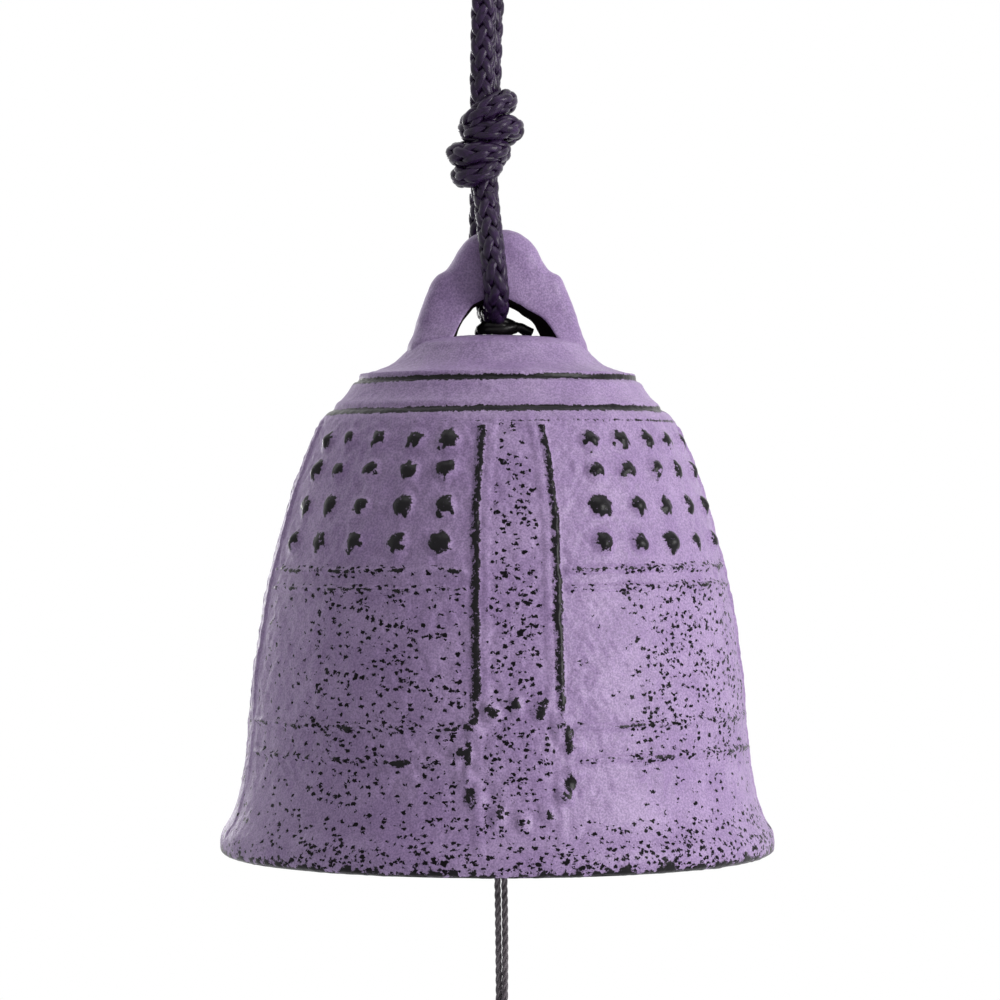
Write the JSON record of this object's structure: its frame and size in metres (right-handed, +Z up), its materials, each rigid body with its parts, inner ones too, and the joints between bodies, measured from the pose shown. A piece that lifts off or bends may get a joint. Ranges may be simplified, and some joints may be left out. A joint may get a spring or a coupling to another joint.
{
  "type": "wind bell",
  "caption": "Cast-iron wind bell in temple-bell form, hung on a knotted cord, with a clapper on a string inside and a paper strip below to catch the wind.",
  "frame": {"origin": "inside top of the hanging loop, where a hook or nail bears", "axes": "+Z up along the bell's axis, -Y out of the front, the band with the roundel that the picture shows, X along the hook that the loop hangs on"},
  "size_m": [0.066, 0.066, 0.2856],
  "materials": {
    "painted_iron": "matte paint, worn to black on raised edges",
    "bare_iron": "matte black",
    "thick_cord": "round braid",
    "thin_string": "twisted, doubled",
    "strip_paper": "plain matte paper"
  },
  "bodies": {
    "hanger": {"hanging_loop": "thick_cord"},
    "sling": {"hanging_knot": "thick_cord", "bell_sling": "thick_cord"},
    "bell": {"bell_casting": "painted_iron", "stop_knot": "thin_string"},
    "neck": {"string_neck": "thin_string"},
    "clapper": {"clapper_string": "thin_string", "clapper": "bare_iron", "clapper_knot": "thin_string"},
    "tail": {"tail_string": "thin_string"},
    "paper_swivel": {"catcher_knot": "thin_string"},
    "paper": {"paper_loop": "thin_string", "paper_strip": "strip_paper"}
  },
  "joints": [
    {"name": "cord_twist", "type": "hinge", "parent": "hanger", "child": "sling", "pos_m": [0, 0, -0.03235], "axis": [0, 0, 1], "range_deg": [-90, 90]},
    {"name": "bell_rock", "type": "hinge", "parent": "sling", "child": "bell", "pos_m": [0, 0, -0.054], "axis": [1, 0, 0], "range_deg": [-25, 25]},
    {"name": "string_spin", "type": "hinge", "parent": "bell", "child": "neck", "pos_m": [0, 0, -0.0676], "axis": [0, 0, 1], "continuous": true},
    {"name": "clapper_swing", "type": "hinge", "parent": "neck", "child": "clapper", "pos_m": [0, 0, -0.0676], "axis": [0, 1, 0], "range_deg": [-24, 24]},
    {"name": "tail_swing", "type": "hinge", "parent": "clapper", "child": "tail", "pos_m": [0, 0, -0.11381], "axis": [1, 0, 0], "range_deg": [-35, 35]},
    {"name": "paper_twist", "type": "hinge", "parent": "tail", "child": "paper_swivel", "pos_m": [0, 0, -0.16391], "axis": [0, 0, 1], "continuous": true},
    {"name": "paper_flap", "type": "hinge", "parent": "paper_swivel", "child": "paper", "pos_m": [0, 0, -0.16391], "axis": [1, 0, 0], "range_deg": [-60, 60]}
  ]
}
